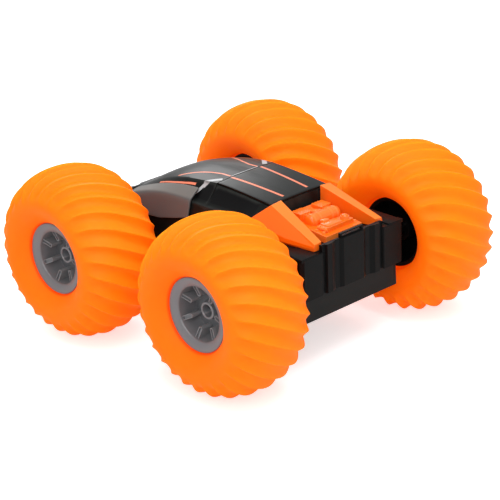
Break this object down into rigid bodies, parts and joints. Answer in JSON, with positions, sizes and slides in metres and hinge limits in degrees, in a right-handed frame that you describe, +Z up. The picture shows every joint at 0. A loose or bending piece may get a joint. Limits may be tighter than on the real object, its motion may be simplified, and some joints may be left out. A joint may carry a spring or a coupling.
{
  "type": "radio controlled stunt car",
  "caption": "Skid-steered stunt car with a low black body, orange tail fins and engine moulding, and fat ridged balloon tyres on stub axles.",
  "frame": {"origin": "on the ground, under the middle of the wheelbase and track", "axes": "nose to -Y, the car's left to +X, +Z up"},
  "size_m": [0.2472, 0.2608, 0.12],
  "materials": {
    "soft_tyre": "soft matte vinyl, slightly translucent",
    "gloss_orange": "glossy moulded plastic",
    "body_black": "satin to gloss moulded plastic",
    "hub_grey": "satin metallic grey moulding",
    "fender_grey": "satin grey moulding",
    "steel": "bright steel",
    "nylon": "natural white nylon",
    "brass": "turned brass",
    "motor_steel": "plated steel can",
    "battery_wrap": "shrink sleeve",
    "board_green": "solder-masked board"
  },
  "bodies": {
    "chassis": {"lower_shell": "body_black", "upper_shell": "body_black", "roof_panel": "body_black", "left_rear_fin": "gloss_orange", "right_rear_fin": "gloss_orange", "engine_cover": "gloss_orange", "left_front_fender": "fender_grey", "right_front_fender": "fender_grey", "rear_bumper": "body_black", "front_bumper": "body_black", "left_gear_plate": "body_black", "right_gear_plate": "body_black", "left_motor": "motor_steel", "right_motor": "motor_steel", "front_left_axle_sleeve": "body_black", "rear_left_axle_sleeve": "body_black", "front_right_axle_sleeve": "body_black", "rear_right_axle_sleeve": "body_black", "battery_pack": "battery_wrap", "receiver_board": "board_green", "power_switch": "body_black", "rear_body_screw": "steel", "front_body_screw": "steel"},
    "rear_left_wheel": {"rear_left_tyre": "soft_tyre", "rear_left_outer_rim": "hub_grey", "rear_left_inner_rim": "body_black", "rear_left_axle": "steel", "rear_left_wheel_screw": "steel", "rear_left_axle_gear": "nylon"},
    "front_left_wheel": {"front_left_tyre": "soft_tyre", "front_left_outer_rim": "hub_grey", "front_left_inner_rim": "body_black", "front_left_axle": "steel", "front_left_wheel_screw": "steel", "front_left_axle_gear": "nylon"},
    "left_rear_idler_body": {"left_rear_idler": "nylon"},
    "left_middle_idler_body": {"left_middle_idler": "nylon"},
    "left_front_idler_body": {"left_front_idler": "nylon"},
    "left_reduction_body": {"left_reduction_gear": "nylon"},
    "left_pinion_body": {"left_motor_pinion": "brass"},
    "rear_right_wheel": {"rear_right_tyre": "soft_tyre", "rear_right_outer_rim": "hub_grey", "rear_right_inner_rim": "body_black", "rear_right_axle": "steel", "rear_right_wheel_screw": "steel", "rear_right_axle_gear": "nylon"},
    "front_right_wheel": {"front_right_tyre": "soft_tyre", "front_right_outer_rim": "hub_grey", "front_right_inner_rim": "body_black", "front_right_axle": "steel", "front_right_wheel_screw": "steel", "front_right_axle_gear": "nylon"},
    "right_rear_idler_body": {"right_rear_idler": "nylon"},
    "right_middle_idler_body": {"right_middle_idler": "nylon"},
    "right_front_idler_body": {"right_front_idler": "nylon"},
    "right_reduction_body": {"right_reduction_gear": "nylon"},
    "right_pinion_body": {"right_motor_pinion": "brass"},
    "switch_knob": {"switch_slider": "nylon"},
    "battery_hatch": {"battery_door": "body_black", "battery_door_screw": "steel"}
  },
  "joints": [
    {"name": "rear_left_wheel_spin", "type": "hinge", "parent": "chassis", "child": "rear_left_wheel", "pos_m": [0.0914, 0.0704, 0.06], "axis": [1, 0, 0], "continuous": true},
    {"name": "front_left_wheel_spin", "type": "hinge", "parent": "chassis", "child": "front_left_wheel", "pos_m": [0.0914, -0.0704, 0.06], "axis": [1, 0, 0], "continuous": true},
    {"name": "left_rear_idler_spin", "type": "hinge", "parent": "chassis", "child": "left_rear_idler_body", "pos_m": [0.0358, 0.0352, 0.06], "axis": [1, 0, 0], "continuous": true},
    {"name": "left_middle_idler_spin", "type": "hinge", "parent": "chassis", "child": "left_middle_idler_body", "pos_m": [0.0358, 0, 0.06], "axis": [1, 0, 0], "continuous": true},
    {"name": "left_front_idler_spin", "type": "hinge", "parent": "chassis", "child": "left_front_idler_body", "pos_m": [0.0358, -0.0352, 0.06], "axis": [1, 0, 0], "continuous": true},
    {"name": "left_reduction_spin", "type": "hinge", "parent": "chassis", "child": "left_reduction_body", "pos_m": [0.032, 0.02083, 0.08109], "axis": [1, 0, 0], "continuous": true},
    {"name": "left_motor_spin", "type": "hinge", "parent": "chassis", "child": "left_pinion_body", "pos_m": [0.03, 0.03529, 0.0738], "axis": [1, 0, 0], "continuous": true},
    {"name": "rear_right_wheel_spin", "type": "hinge", "parent": "chassis", "child": "rear_right_wheel", "pos_m": [-0.0914, 0.0704, 0.06], "axis": [1, 0, 0], "continuous": true},
    {"name": "front_right_wheel_spin", "type": "hinge", "parent": "chassis", "child": "front_right_wheel", "pos_m": [-0.0914, -0.0704, 0.06], "axis": [1, 0, 0], "continuous": true},
    {"name": "right_rear_idler_spin", "type": "hinge", "parent": "chassis", "child": "right_rear_idler_body", "pos_m": [-0.0358, 0.0352, 0.06], "axis": [1, 0, 0], "continuous": true},
    {"name": "right_middle_idler_spin", "type": "hinge", "parent": "chassis", "child": "right_middle_idler_body", "pos_m": [-0.0358, 0, 0.06], "axis": [1, 0, 0], "continuous": true},
    {"name": "right_front_idler_spin", "type": "hinge", "parent": "chassis", "child": "right_front_idler_body", "pos_m": [-0.0358, -0.0352, 0.06], "axis": [1, 0, 0], "continuous": true},
    {"name": "right_reduction_spin", "type": "hinge", "parent": "chassis", "child": "right_reduction_body", "pos_m": [-0.032, -0.02083, 0.08109], "axis": [1, 0, 0], "continuous": true},
    {"name": "right_motor_spin", "type": "hinge", "parent": "chassis", "child": "right_pinion_body", "pos_m": [-0.03, -0.03529, 0.0738], "axis": [1, 0, 0], "continuous": true},
    {"name": "power_switch_slide", "type": "slide", "parent": "chassis", "child": "switch_knob", "axis": [0, 1, 0], "range_m": [0, 0.003]},
    {"name": "battery_door_open", "type": "hinge", "parent": "chassis", "child": "battery_hatch", "pos_m": [0, 0.033, 0.03424], "axis": [1, 0, 0], "range_deg": [0, 60]}
  ],
  "couplings": [
    {"joint": "front_left_wheel_spin", "follows": "rear_left_wheel_spin", "ratio": 1},
    {"joint": "left_rear_idler_spin", "follows": "rear_left_wheel_spin", "ratio": -1},
    {"joint": "left_middle_idler_spin", "follows": "rear_left_wheel_spin", "ratio": 1},
    {"joint": "left_front_idler_spin", "follows": "rear_left_wheel_spin", "ratio": -1},
    {"joint": "left_reduction_spin", "follows": "rear_left_wheel_spin", "ratio": 2.2222},
    {"joint": "left_motor_spin", "follows": "rear_left_wheel_spin", "ratio": -7.7778},
    {"joint": "front_right_wheel_spin", "follows": "rear_right_wheel_spin", "ratio": 1},
    {"joint": "right_rear_idler_spin", "follows": "rear_right_wheel_spin", "ratio": -1},
    {"joint": "right_middle_idler_spin", "follows": "rear_right_wheel_spin", "ratio": 1},
    {"joint": "right_front_idler_spin", "follows": "rear_right_wheel_spin", "ratio": -1},
    {"joint": "right_reduction_spin", "follows": "rear_right_wheel_spin", "ratio": 2.2222},
    {"joint": "right_motor_spin", "follows": "rear_right_wheel_spin", "ratio": -7.7778}
  ]
}
